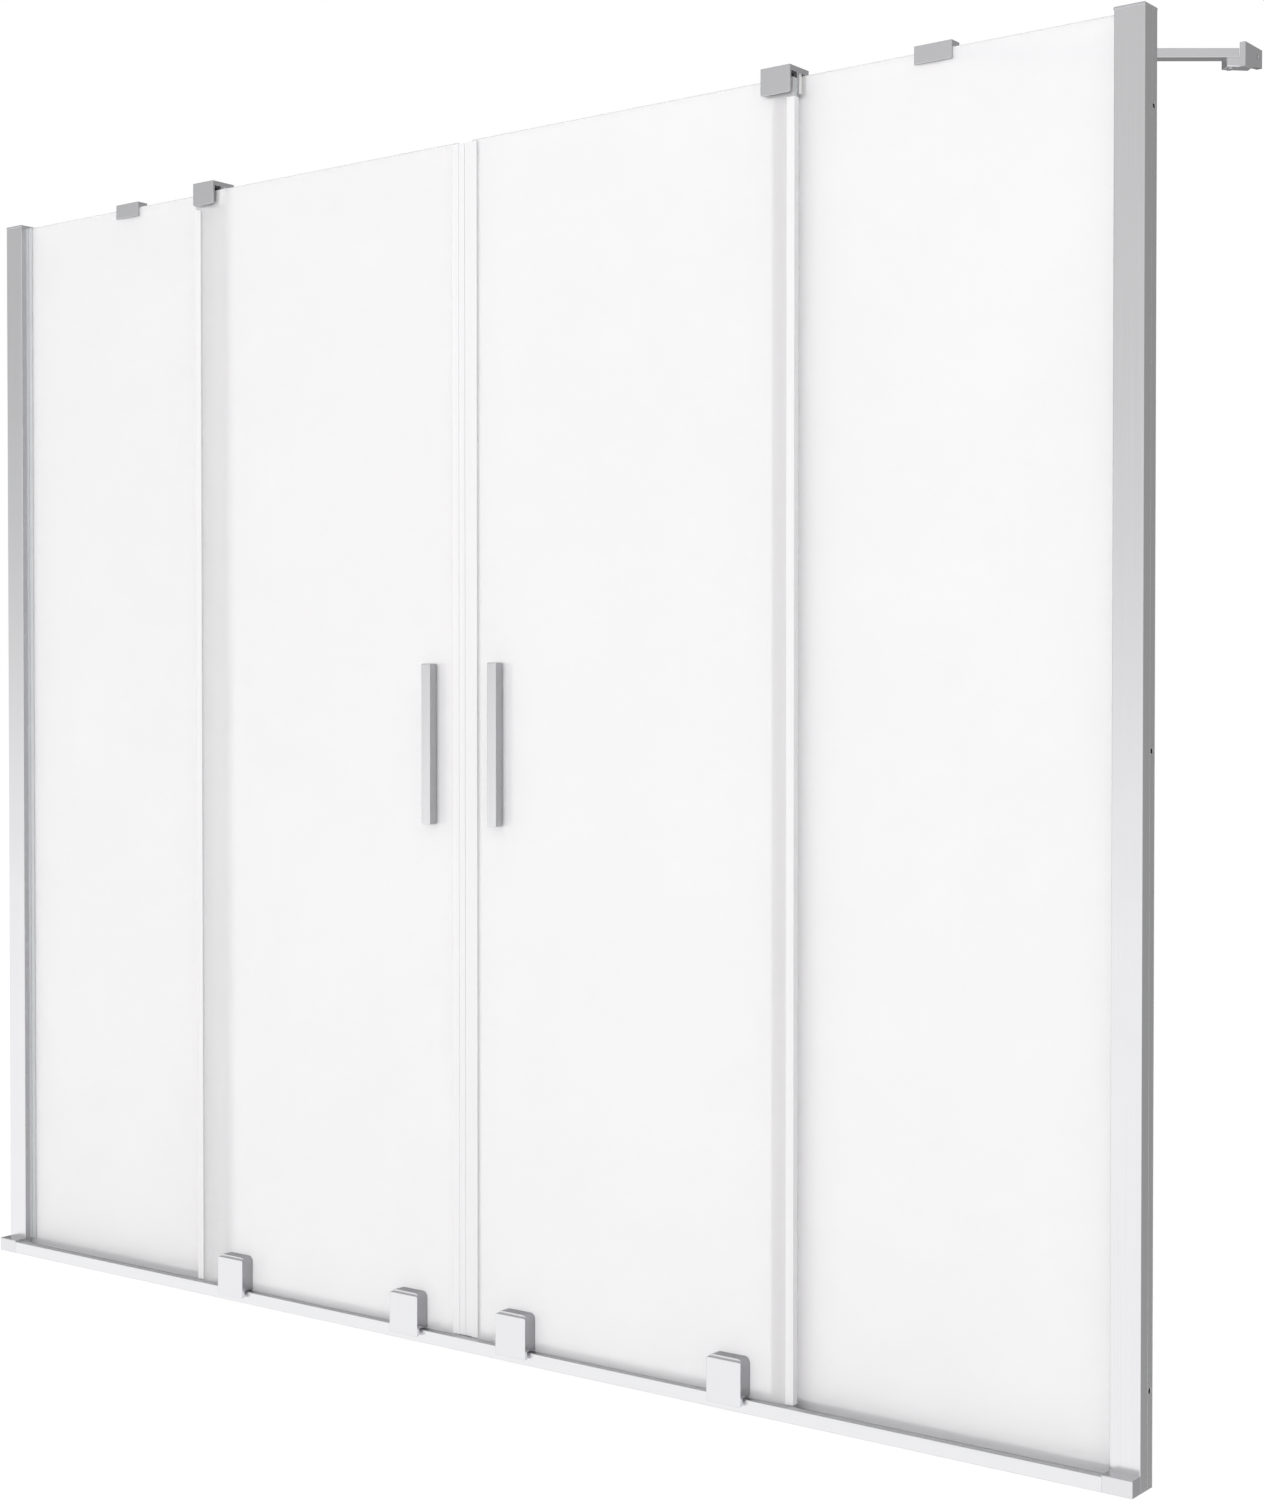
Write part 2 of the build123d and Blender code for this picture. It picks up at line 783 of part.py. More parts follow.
# Screws under both ends of the stays
with BuildPart() as stay_screws:
    for name, side in sides:
        for x, y, base, seat in (
            (stay_clip_x, stay_pivot_y, clip_bottom, stay_bottom),
            (stay_screw_x, stay_screw_y, bracket_bottom, stay_screw_seat),
        ):
            with BuildSketch(Plane.XY.offset(base - stay_screw_head_height)):
                with Locations((side * x, y)):
                    Circle(stay_screw_head_radius)
            extrude(amount=stay_screw_head_height)
            with BuildSketch(Plane.XY.offset(base)):
                with Locations((side * x, y)):
                    Circle(stay_screw_radius)
            extrude(amount=seat + stay_screw_reach - base)
stay_screws.part.label = "stay_screws"
export_step(stay_screws.part, "parts/stay_screws.step")

# Screws that join the glazing profiles to the wall channels
with BuildPart() as profile_screws:
    for name, side in sides:
        places = [(side * (wall_x - channel_reach / 2), -height) for height in profile_screw_heights]
        with BuildSketch(bath_plane(profile_back_y)):
            with Locations(*places):
                Circle(profile_screw_head_radius)
        extrude(amount=profile_screw_head_height)
        with BuildSketch(bath_plane(profile_back_y)):
            with Locations(*places):
                Circle(profile_screw_radius)
        extrude(amount=-profile_screw_length)
    head_rims = profile_screws.edges().filter_by(GeomType.CIRCLE).group_by(Axis.Y)[-1]
    fillet(head_rims, radius=profile_screw_radius / 2)
profile_screws.part.label = "profile_screws"
export_step(profile_screws.part, "parts/profile_screws.step")

# Rubber buffers on the rail end caps, which stop the doors at the end of their travel
with BuildPart() as door_buffers:
    for name, side in sides:
        with BuildSketch(section_plane(side * (profile_inner_x - seat_gap))):
            area(
                track_back_y + buffer_gap,
                track_back_y + buffer_gap + buffer_depth,
                rail_floor + seat_gap,
                rail_floor + seat_gap + buffer_height,
            )
        extrude(amount=-side * (buffer_thickness - seat_gap))
door_buffers.part.label = "door_buffers"
export_step(door_buffers.part, "parts/door_buffers.step")

# Parts of the two doors
for name, side in sides:
    roller_places = (("outer", side * roller_outer_x), ("inner", side * roller_inner_x))
    fixing_heights = [
        handle_mid_height - handle_fixing_spacing / 2,
        handle_mid_height + handle_fixing_spacing / 2,
    ]

    # Door glass with its holes for the rollers and the handle
    with BuildPart() as door_glass:
        with BuildSketch(front_plane(door_back_y)) as pane:
            area(side * door_inner_x, side * door_outer_x, door_glass_bottom, door_glass_top)
            fillet(pane.vertices(), radius=glass_corner_radius)
            with Locations(*[(x, clamp_height) for place, x in roller_places]):
                Circle(clamp_bolt_radius + glass_hole_gap, mode=Mode.SUBTRACT)
            with Locations(*[(side * handle_x, height) for height in fixing_heights]):
                Circle(bush_radius + bush_gap, mode=Mode.SUBTRACT)
        extrude(amount=glass_thickness)
    door_glass.part.label = f"{name}_door_glass"
    export_step(door_glass.part, f"parts/{name}_door_glass.step")

    # Magnetic strip on the edge where the doors meet
    with BuildPart() as meeting_strip:
        with BuildSketch(Plane.XY.offset(strip_bottom)):
            area(
                side * (door_inner_x - seat_gap - strip_wall),
                side * (door_inner_x + strip_leg),
                door_front_y - seat_gap - strip_wall,
                door_back_y + seat_gap + strip_wall,
            )
            area(
                side * (door_inner_x - seat_gap),
                side * (door_inner_x + strip_leg),
                door_front_y - seat_gap,
                door_back_y + seat_gap,
                Mode.SUBTRACT,
            )
            area(
                side * meeting_gap,
                side * (door_inner_x - strip_wall),
                door_plane_y - magnet_depth / 2,
                door_plane_y + magnet_depth / 2,
            )
            with Locations((side * (meeting_gap + magnet_depth / 2), door_plane_y)):
                Rectangle(magnet_bore, magnet_bore, mode=Mode.SUBTRACT)
        extrude(amount=meeting_strip_top - strip_bottom)
    meeting_strip.part.label = f"{name}_meeting_strip"
    export_step(meeting_strip.part, f"parts/{name}_meeting_strip.step")

    # Flexible magnet inside the meeting strip
    with BuildPart() as magnet_bar:
        with BuildSketch(Plane.XY.offset(strip_bottom + magnet_end_gap)):
            with Locations((side * (meeting_gap + magnet_depth / 2), door_plane_y)):
                Rectangle(magnet_bore - 2 * seat_gap, magnet_bore - 2 * seat_gap)
        extrude(amount=meeting_strip_top - strip_bottom - 2 * magnet_end_gap)
    magnet_bar.part.label = f"{name}_magnet_bar"
    export_step(magnet_bar.part, f"parts/{name}_magnet_bar.step")

    # Outer strip with the fin that closes the gap to the fixed pane
    with BuildPart() as outer_strip:
        with BuildSketch(Plane.XY.offset(strip_bottom)):
            area(
                side * (door_outer_x - strip_leg),
                side * door_edge_x,
                door_front_y - seat_gap - strip_wall,
                door_back_y + seat_gap + strip_wall,
            )
            area(
                side * (door_outer_x - strip_leg),
                side * (door_outer_x + seat_gap),
                door_front_y - seat_gap,
                door_back_y + seat_gap,
                Mode.SUBTRACT,
            )
            with BuildLine():
                Polyline(
                    (side * (door_outer_x - fin_thickness), door_back_y + seat_gap),
                    (side * door_outer_x, door_back_y + seat_gap),
                    (side * (door_outer_x - strip_leg + fin_thickness), fixed_front_y - fin_gap),
                    (side * (door_outer_x - strip_leg), fixed_front_y - fin_gap),
                    close=True,
                )
            make_face()
        extrude(amount=edge_strip_top - strip_bottom)
    outer_strip.part.label = f"{name}_outer_strip"
    export_step(outer_strip.part, f"parts/{name}_outer_strip.step")

    for place, x in roller_places:
        # Roller cover: a shell open below and towards the glass, with a front plate that hangs
        # down before the rail
        with BuildPart() as roller_cover:
            with BuildSketch(front_plane(cover_back_y)) as cover_outline:
                area(x - cover_width / 2, x + cover_width / 2, cover_bottom, cover_top)
                fillet(cover_outline.vertices().group_by(Axis.Y)[-1], radius=cover_corner_radius)
            extrude(amount=cover_back_y - cover_front_y)
            with BuildSketch(front_plane(cover_back_y)) as cavity_outline:
                area(
                    x - cover_width / 2 + cover_wall,
                    x + cover_width / 2 - cover_wall,
                    cover_bottom,
                    cover_top - cover_wall,
                )
                fillet(
                    cavity_outline.vertices().group_by(Axis.Y)[-1],
                    radius=cover_corner_radius - cover_wall,
                )
            extrude(amount=cover_back_y - cover_front_y - cover_front_wall, mode=Mode.SUBTRACT)
            with BuildSketch(front_plane(cover_front_y)) as plate_outline:
                area(x - cover_width / 2, x + cover_width / 2, plate_bottom, plate_top)
                fillet(plate_outline.vertices(), radius=plate_corner_radius)
            extrude(amount=plate_thickness)
        roller_cover.part.label = f"{name}_roller_cover_{place}"
        export_step(roller_cover.part, f"parts/{name}_roller_cover_{place}.step")

        # Carrier block with the wheel slot, the axle bores and the clamp hole
        with BuildPart() as roller_carrier:
            with BuildSketch(front_plane(door_front_y - seat_gap)) as carrier_outline:
                area(
                    x - cover_width / 2 + cover_wall + carrier_gap,
                    x + cover_width / 2 - cover_wall - carrier_gap,
                    cover_bottom + carrier_gap,
                    cover_top - cover_wall - carrier_gap,
                )
                fillet(
                    carrier_outline.vertices().group_by(Axis.Y)[-1],
                    radius=cover_corner_radius - cover_wall,
                )
            extrude(amount=carrier_depth)
            with BuildSketch(front_plane(track_mid_y + wheel_slot_width / 2)):
                area(
                    x - wheel_radius - wheel_slot_margin,
                    x + wheel_radius + wheel_slot_margin,
                    cover_bottom,
                    wheel_z + wheel_radius + wheel_slot_margin,
                )
            extrude(amount=wheel_slot_width, mode=Mode.SUBTRACT)
            with BuildSketch(front_plane(door_front_y)):
                with Locations((x, wheel_z)):
                    Circle(axle_radius + axle_fixed_gap)
            extrude(amount=carrier_depth + 2 * seat_gap, mode=Mode.SUBTRACT)
            with BuildSketch(front_plane(door_front_y)):
                with Locations((x, clamp_height)):
                    Circle(clamp_bolt_radius + axle_fixed_gap)
            extrude(amount=clamp_bolt_reach, mode=Mode.SUBTRACT)
        roller_carrier.part.label = f"{name}_roller_carrier_{place}"
        export_step(roller_carrier.part, f"parts/{name}_roller_carrier_{place}.step")

        # Wheel with rim, thin web and hub, revolved about the axle
        with BuildPart() as roller_wheel:
            with BuildSketch(section_plane(x)) as wheel_section:
                bore = axle_radius + axle_running_gap
                with Locations((track_mid_y, wheel_z + (wheel_radius + bore) / 2)):
                    Rectangle(wheel_width, wheel_radius - bore)
                fillet(wheel_section.vertices().group_by(Axis.Y)[-1], radius=wheel_edge_radius)
                for face in (-1, 1):
                    area(
                        track_mid_y + face * wheel_width / 2,
                        track_mid_y + face * (wheel_width / 2 - wheel_recess_depth),
                        wheel_z + wheel_hub_radius,
                        wheel_z + wheel_radius - wheel_rim,
                        Mode.SUBTRACT,
                    )
                area(
                    track_mid_y - wheel_hub_width / 2,
                    track_mid_y + wheel_hub_width / 2,
                    wheel_z + bore,
                    wheel_z + wheel_hub_radius,
                )
            revolve(axis=Axis((x, track_mid_y, wheel_z), (0, 1, 0)))
        roller_wheel.part.label = f"{name}_roller_wheel_{place}"
        export_step(roller_wheel.part, f"parts/{name}_roller_wheel_{place}.step")

    # Axles of both rollers
    with BuildPart() as roller_axles:
        with BuildSketch(front_plane(door_front_y - 2 * seat_gap)):
            with Locations(*[(x, wheel_z) for place, x in roller_places]):
                Circle(axle_radius)
        extrude(amount=carrier_depth - 2 * seat_gap)
    roller_axles.part.label = f"{name}_roller_axles"
    export_step(roller_axles.part, f"parts/{name}_roller_axles.step")

    # Clamp bolts with hexagon sockets, from the bath side through the glass into the carriers
    with BuildPart() as clamp_bolts:
        with BuildSketch(front_plane(door_back_y + clamp_disc_thickness + seat_gap)):
            with Locations(*[(x, clamp_height) for place, x in roller_places]):
                Circle(clamp_disc_radius)
        extrude(amount=clamp_disc_thickness)
        outer_rims = clamp_bolts.edges().filter_by(GeomType.CIRCLE).group_by(Axis.Y)[-1]
        chamfer(outer_rims, length=clamp_disc_thickness / 4)
        with BuildSketch(front_plane(door_back_y + seat_gap)):
            with Locations(*[(x, clamp_height) for place, x in roller_places]):
                Circle(clamp_bolt_radius)
        extrude(amount=glass_thickness + clamp_bolt_reach)
        with BuildSketch(front_plane(door_back_y + clamp_disc_thickness + seat_gap)):
            with Locations(*[(x, clamp_height) for place, x in roller_places]):
                RegularPolygon(clamp_socket_width / 2, 6, major_radius=False)
        extrude(amount=clamp_socket_depth, mode=Mode.SUBTRACT)
    clamp_bolts.part.label = f"{name}_clamp_bolts"
    export_step(clamp_bolts.part, f"parts/{name}_clamp_bolts.step")

    # Handle bars on both faces of the glass
    for face, contact_y, way in (("outer", handle_front_y, -1), ("inner", handle_back_y, 1)):
        with BuildPart() as handle_bar:
            with BuildSketch(Plane.XY.offset(handle_mid_height - handle_length / 2)):
                area(
                    side * handle_x - handle_width / 2,
                    side * handle_x + handle_width / 2,
                    min(contact_y, contact_y + way * handle_depth),
                    max(contact_y, contact_y + way * handle_depth),
                )
            extrude(amount=handle_length)
            fillet(handle_bar.edges(), radius=handle_edge_radius)
            with BuildSketch(front_plane(contact_y)):
                with Locations(*[(side * handle_x, height) for height in fixing_heights]):
                    Circle(stud_radius + stud_gap)
            extrude(amount=-way * stud_reach, mode=Mode.SUBTRACT)
        handle_bar.part.label = f"{name}_handle_{face}"
        export_step(handle_bar.part, f"parts/{name}_handle_{face}.step")

    # Studs through the glass that join the two bars
    with BuildPart() as handle_studs:
        with BuildSketch(front_plane(handle_back_y + stud_reach - stud_gap)):
            with Locations(*[(side * handle_x, height) for height in fixing_heights]):
                Circle(stud_radius)
        extrude(amount=handle_back_y - handle_front_y + 2 * (stud_reach - stud_gap))
    handle_studs.part.label = f"{name}_handle_studs"
    export_step(handle_studs.part, f"parts/{name}_handle_studs.step")

    # Nylon washers with bushes that keep the metal off the glass
    with BuildPart() as handle_washers:
        for contact_y, way in ((door_front_y, 1), (door_back_y, -1)):
            with BuildSketch(front_plane(contact_y)):
                with Locations(*[(side * handle_x, height) for height in fixing_heights]):
                    Circle(washer_radius)
                    Circle(stud_radius + stud_gap, mode=Mode.SUBTRACT)
            extrude(amount=way * washer_thickness)
            with BuildSketch(front_plane(contact_y)):
                with Locations(*[(side * handle_x, height) for height in fixing_heights]):
                    Circle(bush_radius)
                    Circle(stud_radius + stud_gap, mode=Mode.SUBTRACT)
            extrude(amount=-way * bush_length)
    handle_washers.part.label = f"{name}_handle_washers"
    export_step(handle_washers.part, f"parts/{name}_handle_washers.step")
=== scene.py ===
from math import radians

import bpy
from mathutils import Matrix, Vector

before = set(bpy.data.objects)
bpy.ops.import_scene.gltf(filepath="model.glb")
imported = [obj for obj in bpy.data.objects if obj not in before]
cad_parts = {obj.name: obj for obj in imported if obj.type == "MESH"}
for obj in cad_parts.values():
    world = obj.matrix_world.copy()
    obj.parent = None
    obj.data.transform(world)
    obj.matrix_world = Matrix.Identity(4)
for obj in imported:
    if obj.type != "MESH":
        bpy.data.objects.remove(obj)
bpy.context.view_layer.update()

bl_info = {
    "name": "Sliding Bath Screen",
    "version": (1, 0, 0),
    "blender": (4, 5, 0),
    "location": "View3D > Sidebar > Bath Screen",
    "description": "Finishes and studio for a sliding bath screen with satin glass panels",
    "category": "Object",
}

SIDES = ("left", "right")
ROLLERS = ("outer", "inner")
PLATED_PIECES = ("top_guide", "stay_clip", "stay_bar", "wall_bracket")
TURNED_PIECES = ("clamp_bolts", "roller_axles", "handle_studs")

# Grain of each metal, in streaks per metre along X, Y and Z
UPRIGHT_GRAIN = (700, 700, 5)
LEVEL_GRAIN = (5, 700, 700)
PLATED_GRAIN = (40, 900, 900)
HANDLE_GRAIN = (900, 900, 8)
TURNED_GRAIN = (1400, 60, 1400)
CAP_GRAIN = (120, 120, 120)
STRIP_GRAIN = (500, 500, 6)

# Contrast of the grain, from 0 for none
PLATED_CONTRAST = 0.12
CAP_CONTRAST = 0.3
PROFILE_CONTRAST = 0.6
HANDLE_CONTRAST = 0.8
TURNED_CONTRAST = 0.9

# Roughness of the finishes that have no setting of their own
CAP_ROUGHNESS = 0.24
INNER_HANDLE_ROUGHNESS = 0.3
TURNED_ROUGHNESS = 0.26
RUBBER_ROUGHNESS = 0.6
MAGNET_ROUGHNESS = 0.7
NYLON_ROUGHNESS = 0.5

# Moulded skins, as pebbles per metre and their depth in metres
RUBBER_SKIN = (2200, 0.00003)
MAGNET_SKIN = (1200, 0.00004)
NYLON_SKIN = (1400, 0.00004)
# Width of the painted highlight and rubbing along moulded edges
MOULDED_EDGE = 0.0005

# Colour painted along metal edges as a highlight, partly rubbing, and the index of glass and
# clear plastic
EDGE_HIGHLIGHT_AND_RUB_METAL = (0.95, 0.95, 0.96)
CLEAR_INDEX = 1.5

# Room that metal mirrors, as (Z of the direction, grey level)
FAR_LEFT_WALL = (
    (-1, 0.95), (-0.3, 1), (-0.05, 1), (0, 0.78), (0.04, 0.62), (0.14, 0.5), (1, 0.4),
)
WALL_AHEAD = (
    (-1, 0.95), (-0.2, 0.98), (-0.05, 1.03), (0.02, 0.76), (0.08, 0.7), (0.25, 0.6), (1, 0.5),
)
LEFT_FLAG = (
    (-1, 0.8), (-0.5, 0.7), (-0.35, 0.25), (-0.1, 0.18), (0.3, 0.21), (0.5, 0.45), (1, 0.7),
)
RIGHT_FLAG = (
    (-1, 0.8), (-0.5, 0.7), (-0.4, 0.36), (-0.2, 0.31), (0.3, 0.3), (0.5, 0.45), (1, 0.7),
)


class ScreenColours(bpy.types.PropertyGroup):
    """Colours of the screen's finishes"""

    aluminium: bpy.props.FloatVectorProperty(
        name="Aluminium",
        description="Anodised profiles and bottom rail",
        subtype="COLOR",
        size=3,
        default=(0.89, 0.89, 0.905),
        min=0,
        max=1,
    )
    fittings: bpy.props.FloatVectorProperty(
        name="Fittings",
        description="Plated roller covers, top guides, clips and stays",
        subtype="COLOR",
        size=3,
        default=(0.87, 0.87, 0.89),
        min=0,
        max=1,
    )
    handles: bpy.props.FloatVectorProperty(
        name="Handles",
        description="Brushed handle bars",
        subtype="COLOR",
        size=3,
        default=(0.88, 0.88, 0.9),
        min=0,
        max=1,
    )
    # Painted shade: the bath-side bars are the same metal, darker to stand for their shade
    # through the glass
    shaded_inner_handles: bpy.props.FloatVectorProperty(
        name="Inner handles",
        description="Bars on the bath side, a duller grey through the glass",
        subtype="COLOR",
        size=3,
        default=(0.56, 0.56, 0.58),
        min=0,
        max=1,
    )
    # Painted shade, partly two-tone plating: sides and tops of the covers darker than the front
    # plates
    housing_shade: bpy.props.FloatVectorProperty(
        name="Roller housings",
        description="Sides and tops of the roller covers behind their pale front plates",
        subtype="COLOR",
        size=3,
        default=(0.78, 0.78, 0.8),
        min=0,
        max=1,
    )
    steel: bpy.props.FloatVectorProperty(
        name="Steel",
        description="Screws, studs, bolts and axles",
        subtype="COLOR",
        size=3,
        default=(0.66, 0.66, 0.68),
        min=0,
        max=1,
    )
    glass: bpy.props.FloatVectorProperty(
        name="Glass",
        description="Satin etched panes",
        subtype="COLOR",
        size=3,
        default=(0.985, 0.975, 0.985),
        min=0,
        max=1,
    )
    # Painted shade: the panes' colour in metal's reflections, darker than the glass itself
    mirrored_glass: bpy.props.FloatVectorProperty(
        name="Mirrored glass",
        description="How dim the panes look where metal in front of them mirrors them",
        subtype="COLOR",
        size=3,
        default=(0.5, 0.5, 0.51),
        min=0,
        max=1,
    )
    glass_edge: bpy.props.FloatVectorProperty(
        name="Glass edge",
        description="Ground edges of the panes, where the glass looks deeper",
        subtype="COLOR",
        size=3,
        default=(0.8, 0.84, 0.84),
        min=0,
        max=1,
    )
    seal: bpy.props.FloatVectorProperty(
        name="Clear seal",
        description="Clear strips on the edges of the panes",
        subtype="COLOR",
        size=3,
        default=(0.925, 0.92, 0.93),
        min=0,
        max=1,
    )
    rubber: bpy.props.FloatVectorProperty(
        name="Rubber",
        description="Glass gaskets and door buffers",
        subtype="COLOR",
        size=3,
        default=(0.6, 0.61, 0.62),
        min=0,
        max=1,
    )
    nylon: bpy.props.FloatVectorProperty(
        name="Nylon",
        description="Wheels, carriers, liners and washers",
        subtype="COLOR",
        size=3,
        default=(0.9, 0.9, 0.88),
        min=0,
        max=1,
    )
    cap: bpy.props.FloatVectorProperty(
        name="Caps",
        description="Plated rail ends and profile caps",
        subtype="COLOR",
        size=3,
        default=(0.84, 0.84, 0.86),
        min=0,
        max=1,
    )
    magnet: bpy.props.FloatVectorProperty(
        name="Magnet",
        description="Flexible magnets in the meeting strips, in a pale skin",
        subtype="COLOR",
        size=3,
        default=(0.86, 0.87, 0.88),
        min=0,
        max=1,
    )
    # Painted shade: the liners are darkened for the shade inside the top guides
    liner: bpy.props.FloatVectorProperty(
        name="Guide liner",
        description="Dark nylon that the doors' top edges run between",
        subtype="COLOR",
        size=3,
        default=(0.12, 0.12, 0.13),
        min=0,
        max=1,
    )


class ScreenSurfaces(bpy.types.PropertyGroup):
    """Gloss and relief of the screen's finishes"""

    aluminium_roughness: bpy.props.FloatProperty(
        name="Aluminium roughness",
        description="Roughness of the anodised faces",
        subtype="FACTOR",
        default=0.2,
        min=0,
        max=1,
    )
    fitting_roughness: bpy.props.FloatProperty(
        name="Fitting roughness",
        description="Roughness of the plated fittings and handles",
        subtype="FACTOR",
        default=0.18,
        min=0,
        max=1,
    )
    glass_haze: bpy.props.FloatProperty(
        name="Glass haze",
        description="Roughness of the etched glass",
        subtype="FACTOR",
        default=0.22,
        min=0,
        max=1,
    )
    glass_clearness: bpy.props.FloatProperty(
        name="Glass clearness",
        description="Share of the light that goes through the etched glass",
        subtype="FACTOR",
        default=0.5,
        min=0,
        max=1,
    )
    grain_depth: bpy.props.FloatProperty(
        name="Grain depth",
        description="Depth of the drawn and brushed grain",
        unit="LENGTH",
        default=0.00002,
        min=0,
        soft_max=0.0005,
        precision=6,
    )
    # Width of the painted edge highlight, partly rubbing, and of the rounded edge shading
    edge_radius: bpy.props.FloatProperty(
        name="Edge radius",
        description="Width of the bright worn line along metal edges",
        unit="LENGTH",
        default=0.0012,
        min=0,
        soft_max=0.005,
        precision=5,
    )


class ScreenStudio(bpy.types.PropertyGroup):
    """Camera, floor and light"""

    camera_place: bpy.props.FloatVectorProperty(
        name="Camera place",
        description="Where the camera stands",
        subtype="XYZ",
        unit="LENGTH",
        size=3,
        default=(1.9195, -2.182, 0.7883),
    )
    camera_turn: bpy.props.FloatVectorProperty(
        name="Camera turn",
        description="Which way the camera looks",
        subtype="EULER",
        unit="ROTATION",
        size=3,
        default=(radians(89.099), 0.0, radians(37.41)),
    )
    lens: bpy.props.FloatProperty(
        name="Lens",
        description="Focal length on a 36 mm sensor",
        unit="CAMERA",
        default=56.15,
        min=1,
    )
    floor_size: bpy.props.FloatProperty(
        name="Floor size",
        description="Side of the square floor",
        unit="LENGTH",
        default=80.0,
        min=2,
    )
    floor_shadow: bpy.props.FloatProperty(
        name="Floor shadow",
        description="How much of the floor's own shading the camera sees",
        subtype="FACTOR",
        default=0.12,
        min=0,
        max=1,
    )
    floor_drop: bpy.props.FloatProperty(
        name="Floor drop",
        description="Gap between the rail's underside and the floor",
        unit="LENGTH",
        default=0.0005,
        min=0,
        precision=4,
    )
    floor_glow: bpy.props.FloatProperty(
        name="Floor glow",
        description="Strength of the white that the camera sees on the floor",
        default=1.03,
        min=0,
        soft_max=2,
    )
    room_light: bpy.props.FloatProperty(
        name="Room light",
        description="Strength of the even light from all around",
        default=1.04,
        min=0,
        soft_max=2,
    )
    lamp_power: bpy.props.FloatProperty(
        name="Lamp power",
        description="Power of the large soft lamp",
        unit="POWER",
        default=42.0,
        min=0,
    )
    lamp_size: bpy.props.FloatProperty(
        name="Lamp size",
        description="Side of the large soft lamp",
        unit="LENGTH",
        default=4.0,
        min=0.1,
    )
    lamp_place: bpy.props.FloatVectorProperty(
        name="Lamp place",
        description="Where the large soft lamp hangs",
        subtype="XYZ",
        unit="LENGTH",
        size=3,
        default=(0.8, -3.4, 2.8),
    )


def math_node(tree, operation, first, second=None, clamp=False):
    """A Math node whose inputs are sockets or numbers."""
    node = tree.nodes.new("ShaderNodeMath")
    node.operation = operation
    node.use_clamp = clamp
    for socket, value in zip(node.inputs, (first, second)):
        if value is None:
            continue
        if isinstance(value, bpy.types.NodeSocket):
            tree.links.new(value, socket)
        else:
            socket.default_value = value
    return node.outputs["Value"]


def remap(tree, value, from_low, from_high, to_low, to_high):
    """A Map Range node between two pairs of limits."""
    node = tree.nodes.new("ShaderNodeMapRange")
    tree.links.new(value, node.inputs["Value"])
    node.inputs["From Min"].default_value = from_low
    node.inputs["From Max"].default_value = from_high
    node.inputs["To Min"].default_value = to_low
    node.inputs["To Max"].default_value = to_high
    return node.outputs["Result"]


def mix_colours(tree, factor, first, second):
    """A colour Mix node whose colours are sockets or RGB values."""
    node = tree.nodes.new("ShaderNodeMix")
    node.data_type = "RGBA"
    tree.links.new(factor, node.inputs["Factor"])
    for name, value in (("A", first), ("B", second)):
        socket = next(s for s in node.inputs if s.name == name and s.type == "RGBA")
        if isinstance(value, bpy.types.NodeSocket):
            tree.links.new(value, socket)
        else:
            socket.default_value = (*value, 1)
    return next(s for s in node.outputs if s.type == "RGBA")


def new_group(name, inputs, outputs):
    """A shader node group with named inputs (name, type, default) and outputs (name, type)."""
    group = bpy.data.node_groups.new(name, "ShaderNodeTree")
    for label, kind, default in inputs:
        socket = group.interface.new_socket(label, in_out="INPUT", socket_type=kind)
        socket.default_value = default
    for label, kind in outputs:
        group.interface.new_socket(label, in_out="OUTPUT", socket_type=kind)
    return group, group.nodes.new("NodeGroupInput"), group.nodes.new("NodeGroupOutput")


def drawn_grain_group():
    """Long fine streaks, as drawing or brushing leaves them."""
    group, given, result = new_group(
        "Drawn grain",
        [
            ("Streaks per Metre", "NodeSocketVector", (5, 700, 700)),
            ("Contrast", "NodeSocketFloat", 1.0),
        ],
        [("Tone", "NodeSocketFloat"), ("Height", "NodeSocketFloat")],
    )
    place = group.nodes.new("ShaderNodeTexCoord")
    stretch = group.nodes.new("ShaderNodeVectorMath")
    stretch.operation = "MULTIPLY"
    group.links.new(place.outputs["Object"], stretch.inputs[0])
    group.links.new(given.outputs["Streaks per Metre"], stretch.inputs[1])
    streaks = group.nodes.new("ShaderNodeTexNoise")
    streaks.inputs["Scale"].default_value = 1
    streaks.inputs["Detail"].default_value = 3
    streaks.inputs["Roughness"].default_value = 0.6
    group.links.new(stretch.outputs["Vector"], streaks.inputs["Vector"])
    centred = math_node(group, "SUBTRACT", streaks.outputs["Fac"], 0.5)
    spread = math_node(group, "MULTIPLY", centred, given.outputs["Contrast"])
    tone = math_node(group, "ADD", spread, 0.5, clamp=True)
    group.links.new(tone, result.inputs["Tone"])
    group.links.new(streaks.outputs["Fac"], result.inputs["Height"])
    return group


